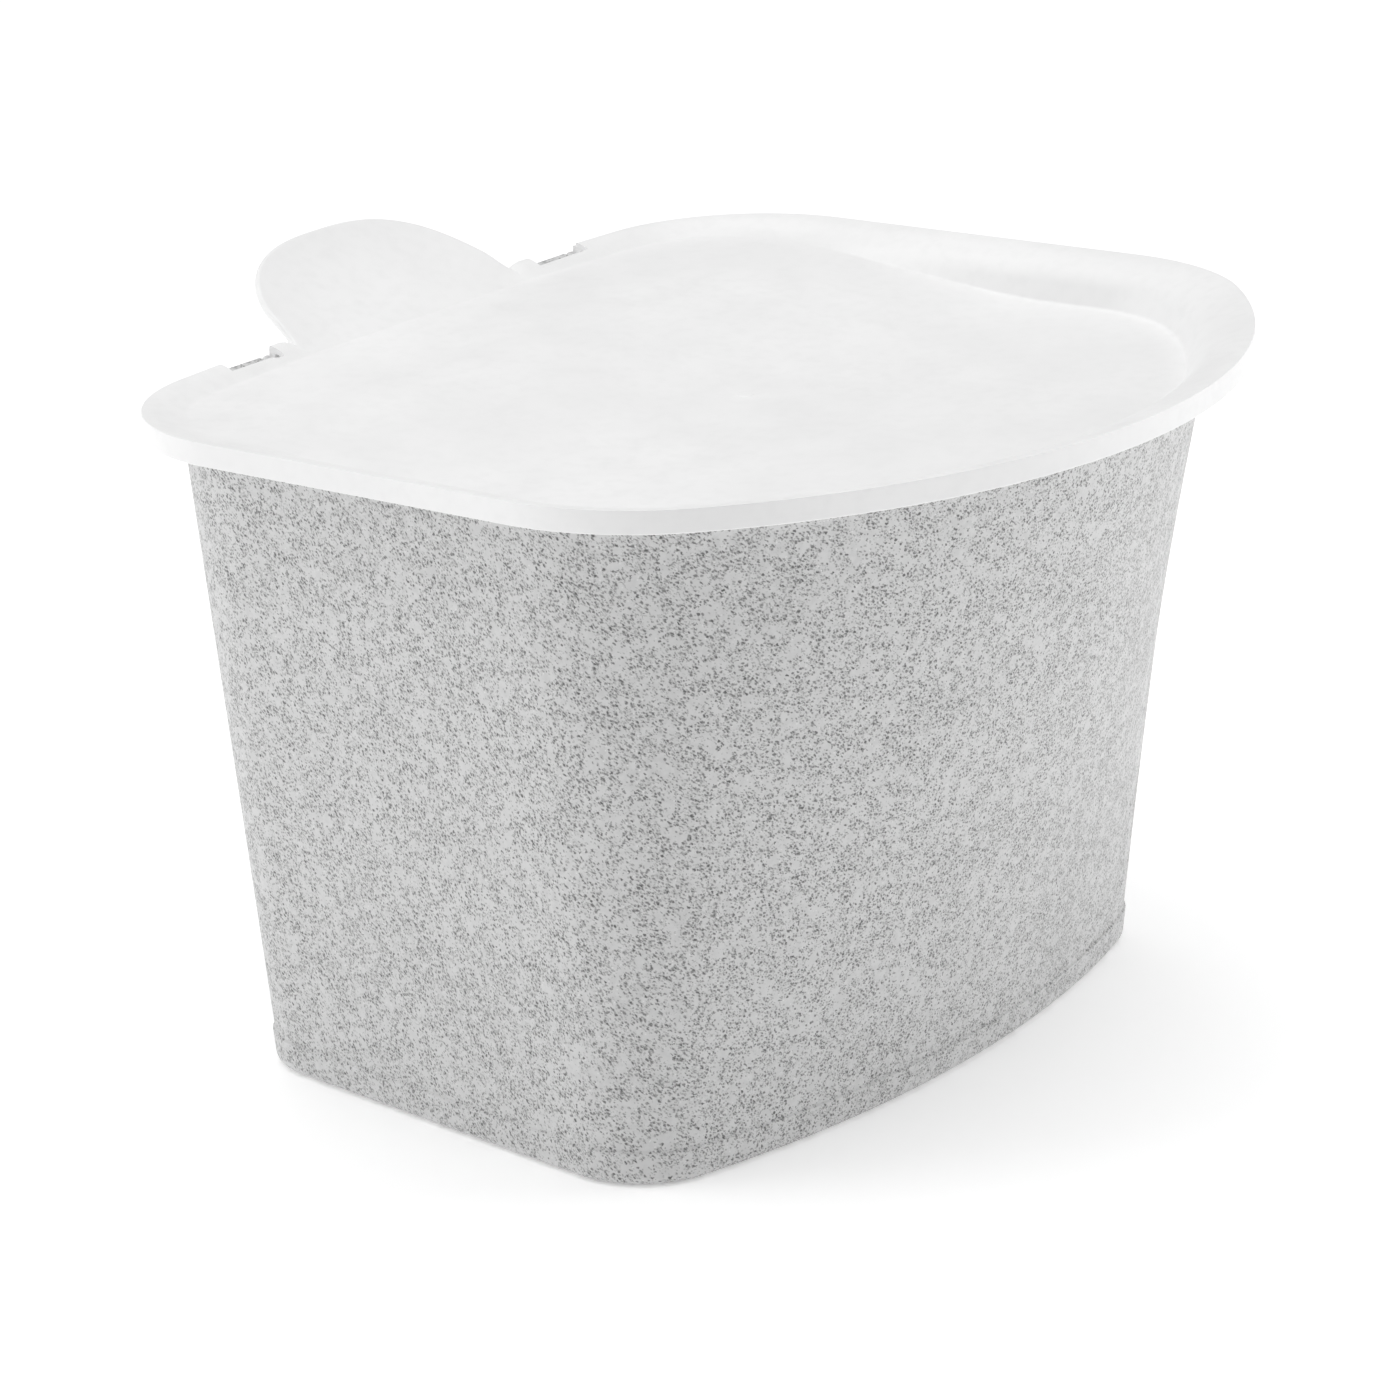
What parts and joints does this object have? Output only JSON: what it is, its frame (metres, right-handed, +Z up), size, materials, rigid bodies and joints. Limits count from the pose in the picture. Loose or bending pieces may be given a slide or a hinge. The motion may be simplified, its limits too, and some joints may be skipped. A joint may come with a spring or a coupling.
{
  "type": "pet food bin",
  "caption": "Tapered bow-fronted pet food tub with a recessed lid hinged along its back edge and a tongue-shaped grip tab.",
  "frame": {"origin": "middle of the tub's flat base, on the surface the bin stands on", "axes": "+X across the bin to the right seen from the front, +Y towards the hinged back edge, +Z up"},
  "size_m": [0.2796, 0.2718, 0.2063],
  "materials": {
    "speckled_grey": "satin, light grey with dense dark specks",
    "white_lid": "satin white",
    "pin_grey": "satin grey"
  },
  "bodies": {
    "tub": {"tub": "speckled_grey", "hinge_knuckle_left": "speckled_grey", "hinge_knuckle_right": "speckled_grey"},
    "lid": {"lid": "white_lid", "grip_tab": "white_lid", "hinge_pin_left": "pin_grey", "hinge_pin_right": "pin_grey"}
  },
  "joints": [
    {"name": "lid_hinge", "type": "hinge", "parent": "tub", "child": "lid", "pos_m": [0, 0.097, 0.1807], "axis": [-1, 0, 0], "range_deg": [0, 105]}
  ]
}
